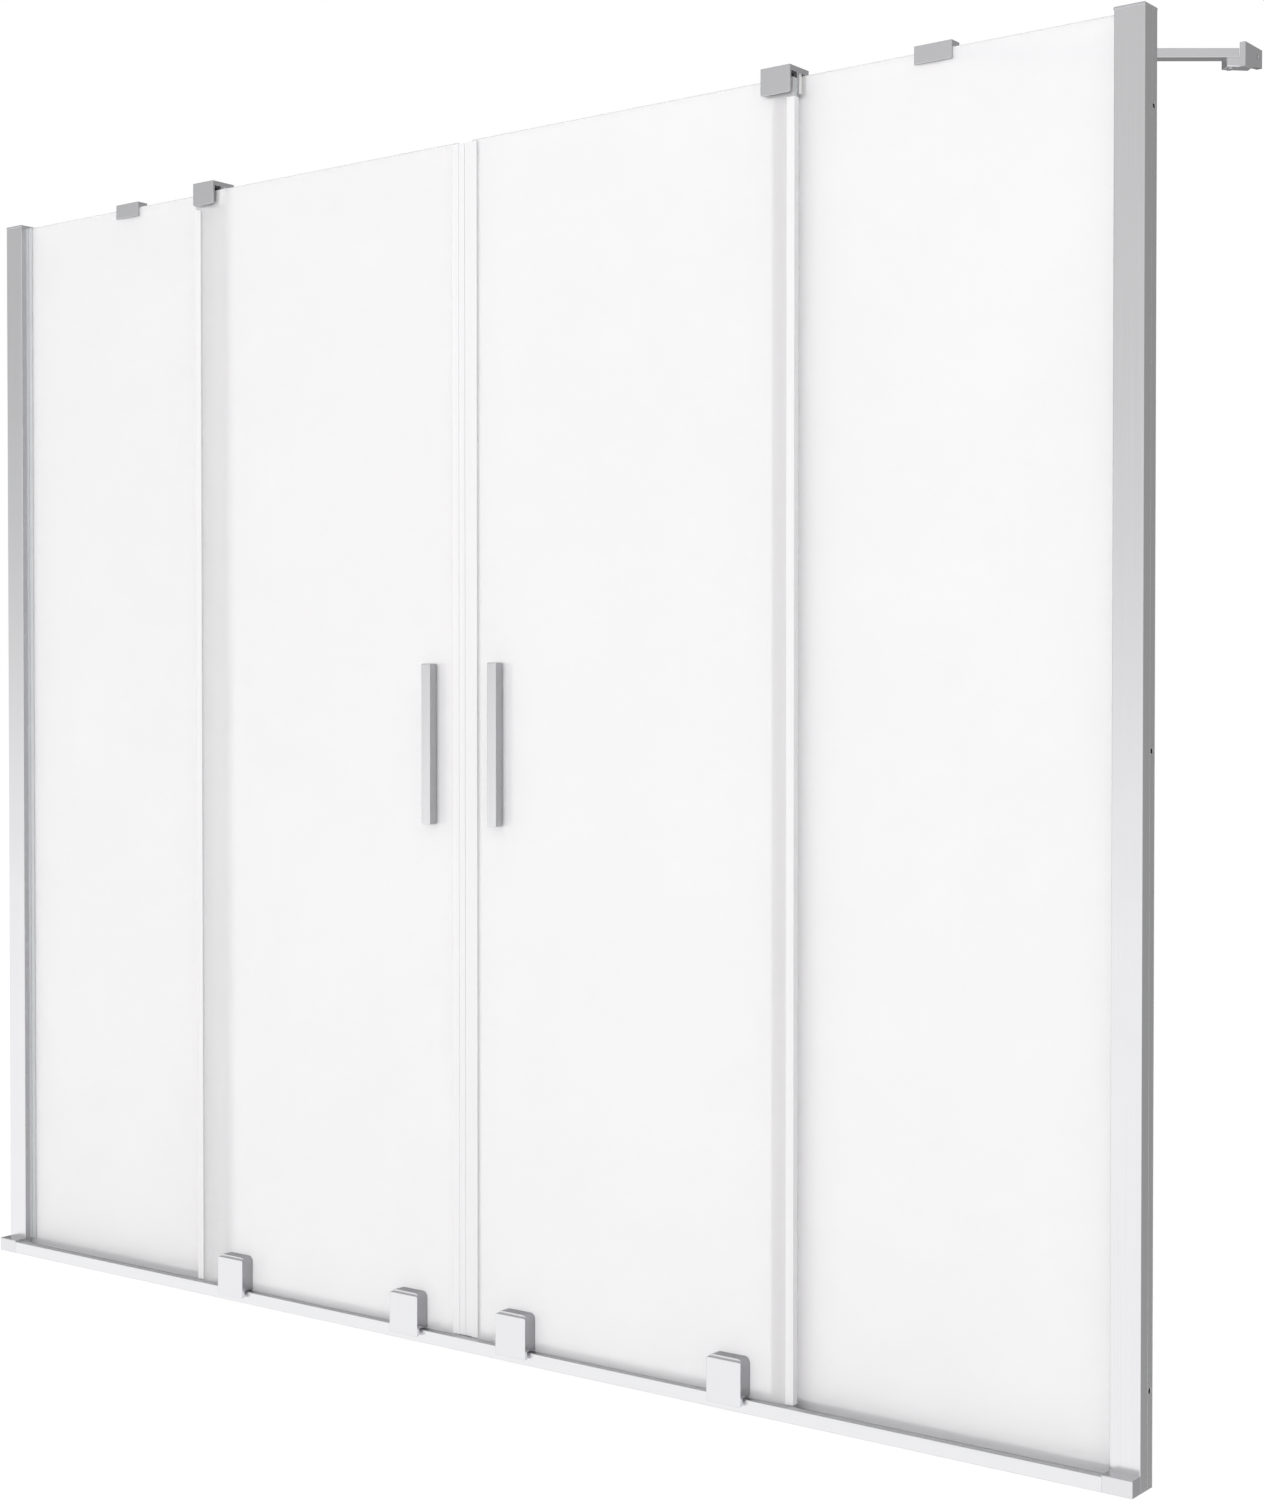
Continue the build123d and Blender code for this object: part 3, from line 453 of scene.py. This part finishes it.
def edge_highlight_and_rubbing_group():
    """Mask that is bright along edges: a painted highlight, partly rubbing marks in patches."""
    group, given, result = new_group(
        "Edge highlight and rubbing",
        [
            ("Width", "NodeSocketFloat", 0.0007),
            ("Patches per Metre", "NodeSocketFloat", 60.0),
        ],
        [("Highlight and Rubbing", "NodeSocketFloat"), ("Rounded", "NodeSocketVector")],
    )
    rounded = group.nodes.new("ShaderNodeBevel")
    rounded.samples = 4
    group.links.new(given.outputs["Width"], rounded.inputs["Radius"])
    surface = group.nodes.new("ShaderNodeNewGeometry")
    facing = group.nodes.new("ShaderNodeVectorMath")
    facing.operation = "DOT_PRODUCT"
    group.links.new(rounded.outputs["Normal"], facing.inputs[0])
    group.links.new(surface.outputs["Normal"], facing.inputs[1])
    edge = remap(group, facing.outputs["Value"], 0.995, 0.9, 0, 1)
    place = group.nodes.new("ShaderNodeTexCoord")
    patches = group.nodes.new("ShaderNodeTexNoise")
    patches.inputs["Detail"].default_value = 2
    group.links.new(place.outputs["Object"], patches.inputs["Vector"])
    group.links.new(given.outputs["Patches per Metre"], patches.inputs["Scale"])
    lit_and_rubbed = remap(group, patches.outputs["Fac"], 0.3, 0.7, 0.45, 1)
    group.links.new(math_node(group, "MULTIPLY", edge, lit_and_rubbed), result.inputs["Highlight and Rubbing"])
    group.links.new(rounded.outputs["Normal"], result.inputs["Rounded"])
    return group


def handling_film_group():
    """Wide soft patches where a surface has been touched, wiped or has gathered dust."""
    group, given, result = new_group(
        "Handling film",
        [("Patches per Metre", "NodeSocketFloat", 12.0)],
        [("Film", "NodeSocketFloat")],
    )
    place = group.nodes.new("ShaderNodeTexCoord")
    patches = group.nodes.new("ShaderNodeTexNoise")
    patches.inputs["Detail"].default_value = 4
    patches.inputs["Roughness"].default_value = 0.65
    group.links.new(place.outputs["Object"], patches.inputs["Vector"])
    group.links.new(given.outputs["Patches per Metre"], patches.inputs["Scale"])
    group.links.new(remap(group, patches.outputs["Fac"], 0.3, 0.7, 0, 1), result.inputs["Film"])
    return group


def moulded_skin_group():
    """Fine pebbled relief of moulded plastic and rubber."""
    group, given, result = new_group(
        "Moulded skin",
        [("Pebbles per Metre", "NodeSocketFloat", 1500.0)],
        [("Tone", "NodeSocketFloat"), ("Height", "NodeSocketFloat")],
    )
    place = group.nodes.new("ShaderNodeTexCoord")
    pebbles = group.nodes.new("ShaderNodeTexVoronoi")
    pebbles.feature = "SMOOTH_F1"
    group.links.new(place.outputs["Object"], pebbles.inputs["Vector"])
    group.links.new(given.outputs["Pebbles per Metre"], pebbles.inputs["Scale"])
    flow = group.nodes.new("ShaderNodeTexNoise")
    flow.inputs["Scale"].default_value = 40
    flow.inputs["Detail"].default_value = 3
    group.links.new(place.outputs["Object"], flow.inputs["Vector"])
    group.links.new(flow.outputs["Fac"], result.inputs["Tone"])
    group.links.new(pebbles.outputs["Distance"], result.inputs["Height"])
    return group


def shared_group(name):
    """The node group of that name, built on first use."""
    makers = {
        "Drawn grain": drawn_grain_group,
        "Edge highlight and rubbing": edge_highlight_and_rubbing_group,
        "Handling film": handling_film_group,
        "Moulded skin": moulded_skin_group,
    }
    return bpy.data.node_groups.get(name) or makers[name]()


def place_group(tree, name, **values):
    """A shared group placed in a material, with its own input values."""
    node = tree.nodes.new("ShaderNodeGroup")
    node.node_tree = shared_group(name)
    for label, value in values.items():
        node.inputs[label.replace("_", " ")].default_value = value
    return node


def new_material(name):
    """An empty node material with a Principled BSDF, as (material, tree, shader)."""
    material = bpy.data.materials.new(name)
    material.use_nodes = True
    tree = material.node_tree
    return material, tree, tree.nodes["Principled BSDF"]


def add_relief(tree, shader, height, depth, rounded=None):
    """Fine relief on the surface, over the rounded edges where these are given."""
    bump = tree.nodes.new("ShaderNodeBump")
    bump.inputs["Strength"].default_value = 1
    bump.inputs["Distance"].default_value = depth
    tree.links.new(height, bump.inputs["Height"])
    if rounded:
        tree.links.new(rounded, bump.inputs["Normal"])
    tree.links.new(bump.outputs["Normal"], shader.inputs["Normal"])


def front_mask(tree):
    """1 on the faces that look into the room, 0 on the others."""
    surface = tree.nodes.new("ShaderNodeTexCoord")
    parts = tree.nodes.new("ShaderNodeSeparateXYZ")
    tree.links.new(surface.outputs["Normal"], parts.inputs["Vector"])
    return math_node(tree, "LESS_THAN", parts.outputs["Y"], -0.5)


def drawn_metal(name, colour, roughness, streaks, contrast, shaded_body=None):
    """Metal with a fine grain along its length, edges brightened as a painted highlight and by
    rubbing, and a faint film.

    Where a second colour is given, only the faces that look into the room keep the first one; the
    others take the second as painted shade on their sides and tops, partly a two-tone plating."""
    surfaces = bpy.context.scene.screen_surfaces
    material, tree, shader = new_material(name)
    grain = place_group(tree, "Drawn grain", Streaks_per_Metre=streaks, Contrast=contrast)
    edge_highlight = place_group(tree, "Edge highlight and rubbing", Width=surfaces.edge_radius)
    film = place_group(tree, "Handling film")
    dark = tuple(0.93 * c for c in colour)
    light = tuple(min(1, 1.05 * c) for c in colour)
    grained = mix_colours(tree, grain.outputs["Tone"], dark, light)
    # Painted highlight, partly rubbing: edges mixed towards pale metal
    highlighted = math_node(tree, "MULTIPLY", edge_highlight.outputs["Highlight and Rubbing"], 0.6)
    base = mix_colours(tree, highlighted, grained, EDGE_HIGHLIGHT_AND_RUB_METAL)
    # Painted shade: every face but those looking into the room takes the darker colour
    if shaded_body:
        base = mix_colours(tree, front_mask(tree), shaded_body, base)
    tree.links.new(base, shader.inputs["Base Color"])
    streaked = remap(tree, grain.outputs["Tone"], 0, 1, roughness - 0.03, roughness + 0.05)
    dulled = math_node(tree, "MULTIPLY", film.outputs["Film"], 0.05)
    tree.links.new(math_node(tree, "ADD", streaked, dulled), shader.inputs["Roughness"])
    shader.inputs["Metallic"].default_value = 1
    add_relief(
        tree, shader, grain.outputs["Height"], surfaces.grain_depth, edge_highlight.outputs["Rounded"]
    )
    return material


def moulded_plastic(name, colour, roughness, skin_size):
    """Moulded plastic or rubber with a pebbled skin and slightly uneven colour."""
    pebbles, depth = skin_size
    material, tree, shader = new_material(name)
    skin = place_group(tree, "Moulded skin", Pebbles_per_Metre=pebbles)
    edge_highlight = place_group(tree, "Edge highlight and rubbing", Width=MOULDED_EDGE)
    dark = tuple(0.94 * c for c in colour)
    light = tuple(min(1, 1.04 * c) for c in colour)
    uneven = mix_colours(tree, skin.outputs["Tone"], dark, light)
    # Painted highlight, partly rubbing: edges mixed towards a paler colour
    lit_and_rubbed = math_node(tree, "MULTIPLY", edge_highlight.outputs["Highlight and Rubbing"], 0.3)
    base = mix_colours(tree, lit_and_rubbed, uneven, tuple(min(1, 1.2 * c) for c in colour))
    tree.links.new(base, shader.inputs["Base Color"])
    rough = remap(tree, skin.outputs["Tone"], 0.3, 0.7, roughness - 0.04, roughness + 0.06)
    tree.links.new(rough, shader.inputs["Roughness"])
    add_relief(tree, shader, skin.outputs["Height"], depth, edge_highlight.outputs["Rounded"])
    return material


def pane_edge_mask(tree):
    """1 on the ground edges of a pane, 0 on its two large faces."""
    surface = tree.nodes.new("ShaderNodeTexCoord")
    parts = tree.nodes.new("ShaderNodeSeparateXYZ")
    tree.links.new(surface.outputs["Normal"], parts.inputs["Vector"])
    across = math_node(tree, "ABSOLUTE", parts.outputs["Y"])
    return math_node(tree, "LESS_THAN", across, 0.5)


def satin_glass(name):
    """Etched toughened glass: light comes through, shapes behind it blur."""
    colours = bpy.context.scene.screen_colours
    surfaces = bpy.context.scene.screen_surfaces
    haze = surfaces.glass_haze
    material, tree, shader = new_material(name)
    film = place_group(tree, "Handling film", Patches_per_Metre=5.0)
    skin = place_group(tree, "Moulded skin", Pebbles_per_Metre=900.0)
    deep = tuple(0.985 * c for c in colours.glass)
    face = mix_colours(tree, film.outputs["Film"], colours.glass, deep)
    tinted = mix_colours(tree, pane_edge_mask(tree), face, colours.glass_edge)
    # Painted shade: panes take a darker colour only in the reflections of metal in front of them
    path = tree.nodes.new("ShaderNodeLightPath")
    mirrored = math_node(tree, "GREATER_THAN", path.outputs["Glossy Depth"], 0.5)
    outside = math_node(tree, "LESS_THAN", path.outputs["Transmission Depth"], 0.5)
    in_metal = math_node(tree, "MULTIPLY", mirrored, outside)
    shaded_in_mirror = mix_colours(tree, in_metal, tinted, colours.mirrored_glass)
    tree.links.new(shaded_in_mirror, shader.inputs["Base Color"])
    etched = remap(tree, film.outputs["Film"], 0, 1, haze - 0.02, haze + 0.03)
    tree.links.new(etched, shader.inputs["Roughness"])
    shader.inputs["Transmission Weight"].default_value = surfaces.glass_clearness
    shader.inputs["IOR"].default_value = CLEAR_INDEX
    add_relief(tree, shader, skin.outputs["Height"], 0.00001)
    return material


def clear_seal(name):
    """Soft clear strip, slightly milky."""
    colours = bpy.context.scene.screen_colours
    material, tree, shader = new_material(name)
    grain = place_group(tree, "Drawn grain", Streaks_per_Metre=STRIP_GRAIN, Contrast=0.8)
    milky = tuple(0.94 * c for c in colours.seal)
    tree.links.new(
        mix_colours(tree, grain.outputs["Tone"], milky, colours.seal), shader.inputs["Base Color"]
    )
    rough = remap(tree, grain.outputs["Tone"], 0, 1, 0.3, 0.4)
    tree.links.new(rough, shader.inputs["Roughness"])
    shader.inputs["Transmission Weight"].default_value = 0.15
    shader.inputs["IOR"].default_value = CLEAR_INDEX
    add_relief(tree, shader, grain.outputs["Height"], 0.00003)
    return material


def finish_nodes(names, material):
    """Gives each of these CAD nodes the material."""
    for name in names:
        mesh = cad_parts[name].data
        mesh.materials.clear()
        mesh.materials.append(material)


class BATHSCREEN_OT_aluminium(bpy.types.Operator):
    """Finish the wall profiles, wall channels and the bottom rail"""

    bl_idname = "bath_screen.aluminium"
    bl_label = "Profiles and Rail"

    def execute(self, context):
        colour = tuple(context.scene.screen_colours.aluminium)
        roughness = context.scene.screen_surfaces.aluminium_roughness
        upright = drawn_metal(
            "profile aluminium", colour, roughness, UPRIGHT_GRAIN, PROFILE_CONTRAST
        )
        level = drawn_metal("rail aluminium", colour, roughness, LEVEL_GRAIN, PROFILE_CONTRAST)
        for side in SIDES:
            finish_nodes([f"{side}_glazing_profile", f"{side}_wall_channel"], upright)
        finish_nodes(["bottom_rail"], level)
        return {"FINISHED"}


class BATHSCREEN_OT_fittings(bpy.types.Operator):
    """Finish the roller covers, top guides, stay clips, stays and wall brackets"""

    bl_idname = "bath_screen.fittings"
    bl_label = "Plated Fittings"

    def execute(self, context):
        colours = context.scene.screen_colours
        roughness = context.scene.screen_surfaces.fitting_roughness
        finish = (tuple(colours.fittings), roughness, PLATED_GRAIN, PLATED_CONTRAST)
        plated = drawn_metal("plated fitting", *finish)
        # Covers get painted shade on their sides and tops, partly two-tone plating
        cover = drawn_metal("roller cover", *finish, shaded_body=tuple(colours.housing_shade))
        for side in SIDES:
            finish_nodes([f"{side}_roller_cover_{place}" for place in ROLLERS], cover)
            finish_nodes([f"{side}_{piece}" for piece in PLATED_PIECES], plated)
        return {"FINISHED"}


class BATHSCREEN_OT_handles(bpy.types.Operator):
    """Finish the handle bars on both faces of the doors"""

    bl_idname = "bath_screen.handles"
    bl_label = "Handles"

    def execute(self, context):
        colours = context.scene.screen_colours
        roughness = context.scene.screen_surfaces.fitting_roughness
        brush = (HANDLE_GRAIN, HANDLE_CONTRAST)
        bright = drawn_metal("brushed handle", tuple(colours.handles), roughness, *brush)
        # Painted shade: bath-side bars in a darker copy of the handle metal
        shaded_inner = drawn_metal(
            "inner handle painted shade", tuple(colours.shaded_inner_handles), INNER_HANDLE_ROUGHNESS, *brush
        )
        for side in SIDES:
            finish_nodes([f"{side}_handle_outer"], bright)
            finish_nodes([f"{side}_handle_inner"], shaded_inner)
        return {"FINISHED"}


class BATHSCREEN_OT_glass(bpy.types.Operator):
    """Finish the fixed panes and the doors"""

    bl_idname = "bath_screen.glass"
    bl_label = "Satin Glass"

    def execute(self, context):
        glass = satin_glass("satin glass")
        for side in SIDES:
            finish_nodes([f"{side}_fixed_glass", f"{side}_door_glass"], glass)
        return {"FINISHED"}


class BATHSCREEN_OT_seals(bpy.types.Operator):
    """Finish the clear strips, gaskets, buffers and magnets"""

    bl_idname = "bath_screen.seals"
    bl_label = "Strips and Gaskets"

    def execute(self, context):
        colours = context.scene.screen_colours
        clear = clear_seal("clear strip")
        rubber = moulded_plastic(
            "gasket rubber", tuple(colours.rubber), RUBBER_ROUGHNESS, RUBBER_SKIN
        )
        magnet = moulded_plastic(
            "magnet strip", tuple(colours.magnet), MAGNET_ROUGHNESS, MAGNET_SKIN
        )
        finish_nodes(["edge_strips"], clear)
        finish_nodes(["rail_gaskets", "door_buffers"], rubber)
        for side in SIDES:
            finish_nodes([f"{side}_meeting_strip", f"{side}_outer_strip"], clear)
            finish_nodes([f"{side}_wall_gasket"], rubber)
            finish_nodes([f"{side}_magnet_bar"], magnet)
        return {"FINISHED"}


class BATHSCREEN_OT_plastics(bpy.types.Operator):
    """Finish the caps and the nylon of rollers, guides and handles"""

    bl_idname = "bath_screen.plastics"
    bl_label = "Caps and Nylon"

    def execute(self, context):
        colours = context.scene.screen_colours
        cap = drawn_metal(
            "plated cap", tuple(colours.cap), CAP_ROUGHNESS, CAP_GRAIN, CAP_CONTRAST
        )
        nylon = moulded_plastic(
            "natural nylon", tuple(colours.nylon), NYLON_ROUGHNESS, NYLON_SKIN
        )
        # Painted shade: liners darkened for the shade inside the guides
        dark = moulded_plastic("liner painted shade", tuple(colours.liner), NYLON_ROUGHNESS, NYLON_SKIN)
        finish_nodes(["profile_caps"], cap)
        finish_nodes(["guide_spacers"], nylon)
        finish_nodes(["guide_liners"], dark)
        for side in SIDES:
            finish_nodes([f"{side}_rail_end_cap"], cap)
            finish_nodes([f"{side}_handle_washers"], nylon)
            for place in ROLLERS:
                finish_nodes(
                    [f"{side}_roller_carrier_{place}", f"{side}_roller_wheel_{place}"], nylon
                )
        return {"FINISHED"}


class BATHSCREEN_OT_fasteners(bpy.types.Operator):
    """Finish the screws, bolts, studs and axles"""

    bl_idname = "bath_screen.fasteners"
    bl_label = "Fasteners"

    def execute(self, context):
        colour = tuple(context.scene.screen_colours.steel)
        turned = drawn_metal(
            "turned steel", colour, TURNED_ROUGHNESS, TURNED_GRAIN, TURNED_CONTRAST
        )
        finish_nodes(["grub_screws", "stay_screws", "profile_screws"], turned)
        for side in SIDES:
            finish_nodes([f"{side}_{piece}" for piece in TURNED_PIECES], turned)
        return {"FINISHED"}


def level_ramp(tree, height, stops):
    """Grey levels by height, given as (Z of the direction, level)."""
    ramp = tree.nodes.new("ShaderNodeValToRGB")
    tree.links.new(height, ramp.inputs["Fac"])
    points = ramp.color_ramp.elements
    while len(points) < len(stops):
        points.new(0.5)
    for point, (rise, level) in zip(points, stops):
        point.position = (rise + 1) / 2
        point.color = (level, level, level, 1)
    return ramp.outputs["Color"]


def reflected_room(tree):
    """Room that metal and glass reflect: a pale floor and wall in front, dim flags behind."""
    direction = tree.nodes.new("ShaderNodeTexCoord")
    parts = tree.nodes.new("ShaderNodeSeparateXYZ")
    tree.links.new(direction.outputs["Generated"], parts.inputs["Vector"])
    height = remap(tree, parts.outputs["Z"], -1, 1, 0, 1)
    front = mix_colours(
        tree,
        remap(tree, parts.outputs["X"], -0.8, -0.4, 0, 1),
        level_ramp(tree, height, FAR_LEFT_WALL),
        level_ramp(tree, height, WALL_AHEAD),
    )
    back = mix_colours(
        tree,
        remap(tree, parts.outputs["X"], -0.1, 0.1, 0, 1),
        level_ramp(tree, height, LEFT_FLAG),
        level_ramp(tree, height, RIGHT_FLAG),
    )
    behind = remap(tree, parts.outputs["Y"], -0.12, 0.12, 0, 1)
    return mix_colours(tree, behind, front, back)


class BATHSCREEN_OT_stage(bpy.types.Operator):
    """Add the floor, the camera and the studio light"""

    bl_idname = "bath_screen.stage"
    bl_label = "Floor, Camera and Light"

    def execute(self, context):
        studio = context.scene.screen_studio
        self.add_floor(context, studio)
        self.add_camera(context, studio)
        self.add_lamp(context, studio)
        self.light_room(context, studio)
        context.scene.view_settings.view_transform = "Standard"
        return {"FINISHED"}

    def add_floor(self, context, studio):
        half = studio.floor_size / 2
        mesh = bpy.data.meshes.new("floor")
        corners = [(-half, -half), (half, -half), (half, half), (-half, half)]
        mesh.from_pydata([(x, y, -studio.floor_drop) for x, y in corners], [], [(0, 1, 2, 3)])
        floor = bpy.data.objects.new("floor", mesh)
        context.scene.collection.objects.link(floor)
        floor.visible_glossy = False
        floor.visible_transmission = False
        material, tree, shader = new_material("pale floor")
        film = place_group(tree, "Handling film", Patches_per_Metre=2.0)
        pale = mix_colours(tree, film.outputs["Film"], (0.9, 0.9, 0.9), (0.93, 0.93, 0.93))
        tree.links.new(pale, shader.inputs["Base Color"])
        shader.inputs["Roughness"].default_value = 0.9
        glow = tree.nodes.new("ShaderNodeEmission")
        glow.inputs["Strength"].default_value = studio.floor_glow
        path = tree.nodes.new("ShaderNodeLightPath")
        seen = math_node(tree, "MULTIPLY", path.outputs["Is Camera Ray"], 1 - studio.floor_shadow)
        mix = tree.nodes.new("ShaderNodeMixShader")
        tree.links.new(seen, mix.inputs["Fac"])
        tree.links.new(shader.outputs["BSDF"], mix.inputs[1])
        tree.links.new(glow.outputs["Emission"], mix.inputs[2])
        tree.links.new(mix.outputs["Shader"], tree.nodes["Material Output"].inputs["Surface"])
        mesh.materials.append(material)

    def add_camera(self, context, studio):
        lens = bpy.data.cameras.new("camera")
        lens.lens = studio.lens
        lens.sensor_width = 36
        lens.clip_start = 0.01
        lens.clip_end = 200
        camera = bpy.data.objects.new("camera", lens)
        camera.location = studio.camera_place
        camera.rotation_euler = studio.camera_turn
        context.scene.collection.objects.link(camera)
        context.scene.camera = camera

    def add_lamp(self, context, studio):
        light = bpy.data.lights.new("soft lamp", "AREA")
        light.energy = studio.lamp_power
        light.shape = "SQUARE"
        light.size = studio.lamp_size
        lamp = bpy.data.objects.new("soft lamp", light)
        lamp.location = studio.lamp_place
        aim = Vector((0, 0, 0.7)) - lamp.location
        lamp.rotation_euler = aim.to_track_quat("-Z", "Y").to_euler()
        lamp.visible_glossy = False
        context.scene.collection.objects.link(lamp)

    def light_room(self, context, studio):
        world = bpy.data.worlds.new("studio")
        world.use_nodes = True
        context.scene.world = world
        tree = world.node_tree
        background = tree.nodes["Background"]
        path = tree.nodes.new("ShaderNodeLightPath")
        seen = math_node(
            tree, "ADD", path.outputs["Is Camera Ray"], path.outputs["Is Transmission Ray"], True
        )
        even = (studio.room_light,) * 3
        backdrop = mix_colours(tree, seen, even, (1, 1, 1))
        # Mirrored light shows the room, unless it has scattered on the way
        glossy = math_node(tree, "GREATER_THAN", path.outputs["Glossy Depth"], 0.5)
        direct = math_node(tree, "LESS_THAN", path.outputs["Diffuse Depth"], 0.5)
        mirrored = math_node(tree, "MULTIPLY", glossy, direct)
        # Metal seen through the satin glass mirrors plain white
        through = math_node(tree, "GREATER_THAN", path.outputs["Transmission Depth"], 0.5)
        outward = math_node(tree, "SUBTRACT", 1, path.outputs["Is Transmission Ray"])
        hazy = math_node(tree, "MULTIPLY", through, outward)
        room = mix_colours(tree, hazy, reflected_room(tree), (1, 1, 1))
        colour = mix_colours(tree, mirrored, backdrop, room)
        tree.links.new(colour, background.inputs["Color"])


class BATHSCREEN_PT_sidebar(bpy.types.Panel):
    """Sidebar panel with the finishes and the stage"""

    bl_idname = "BATHSCREEN_PT_sidebar"
    bl_label = "Bath Screen"
    bl_space_type = "VIEW_3D"
    bl_region_type = "UI"
    bl_category = "Bath Screen"

    def draw(self, context):
        layout = self.layout
        for settings in (
            context.scene.screen_colours,
            context.scene.screen_surfaces,
            context.scene.screen_studio,
        ):
            box = layout.box()
            for name in settings.bl_rna.properties.keys():
                if name not in ("rna_type", "name"):
                    box.prop(settings, name)
        for step in STEPS:
            layout.operator(step.bl_idname)


SETTINGS = {
    "screen_colours": ScreenColours,
    "screen_surfaces": ScreenSurfaces,
    "screen_studio": ScreenStudio,
}
STEPS = (
    BATHSCREEN_OT_stage,
    BATHSCREEN_OT_aluminium,
    BATHSCREEN_OT_fittings,
    BATHSCREEN_OT_handles,
    BATHSCREEN_OT_glass,
    BATHSCREEN_OT_seals,
    BATHSCREEN_OT_plastics,
    BATHSCREEN_OT_fasteners,
)


def register():
    for kind in (*SETTINGS.values(), *STEPS, BATHSCREEN_PT_sidebar):
        bpy.utils.register_class(kind)
    for name, kind in SETTINGS.items():
        setattr(bpy.types.Scene, name, bpy.props.PointerProperty(type=kind))


def unregister():
    for name in SETTINGS:
        delattr(bpy.types.Scene, name)
    for kind in (BATHSCREEN_PT_sidebar, *reversed(STEPS), *reversed(SETTINGS.values())):
        bpy.utils.unregister_class(kind)


def main():
    register()
    for step in STEPS:
        group, name = step.bl_idname.split(".")
        getattr(getattr(bpy.ops, group), name)()


if __name__ == "__main__":
    main()
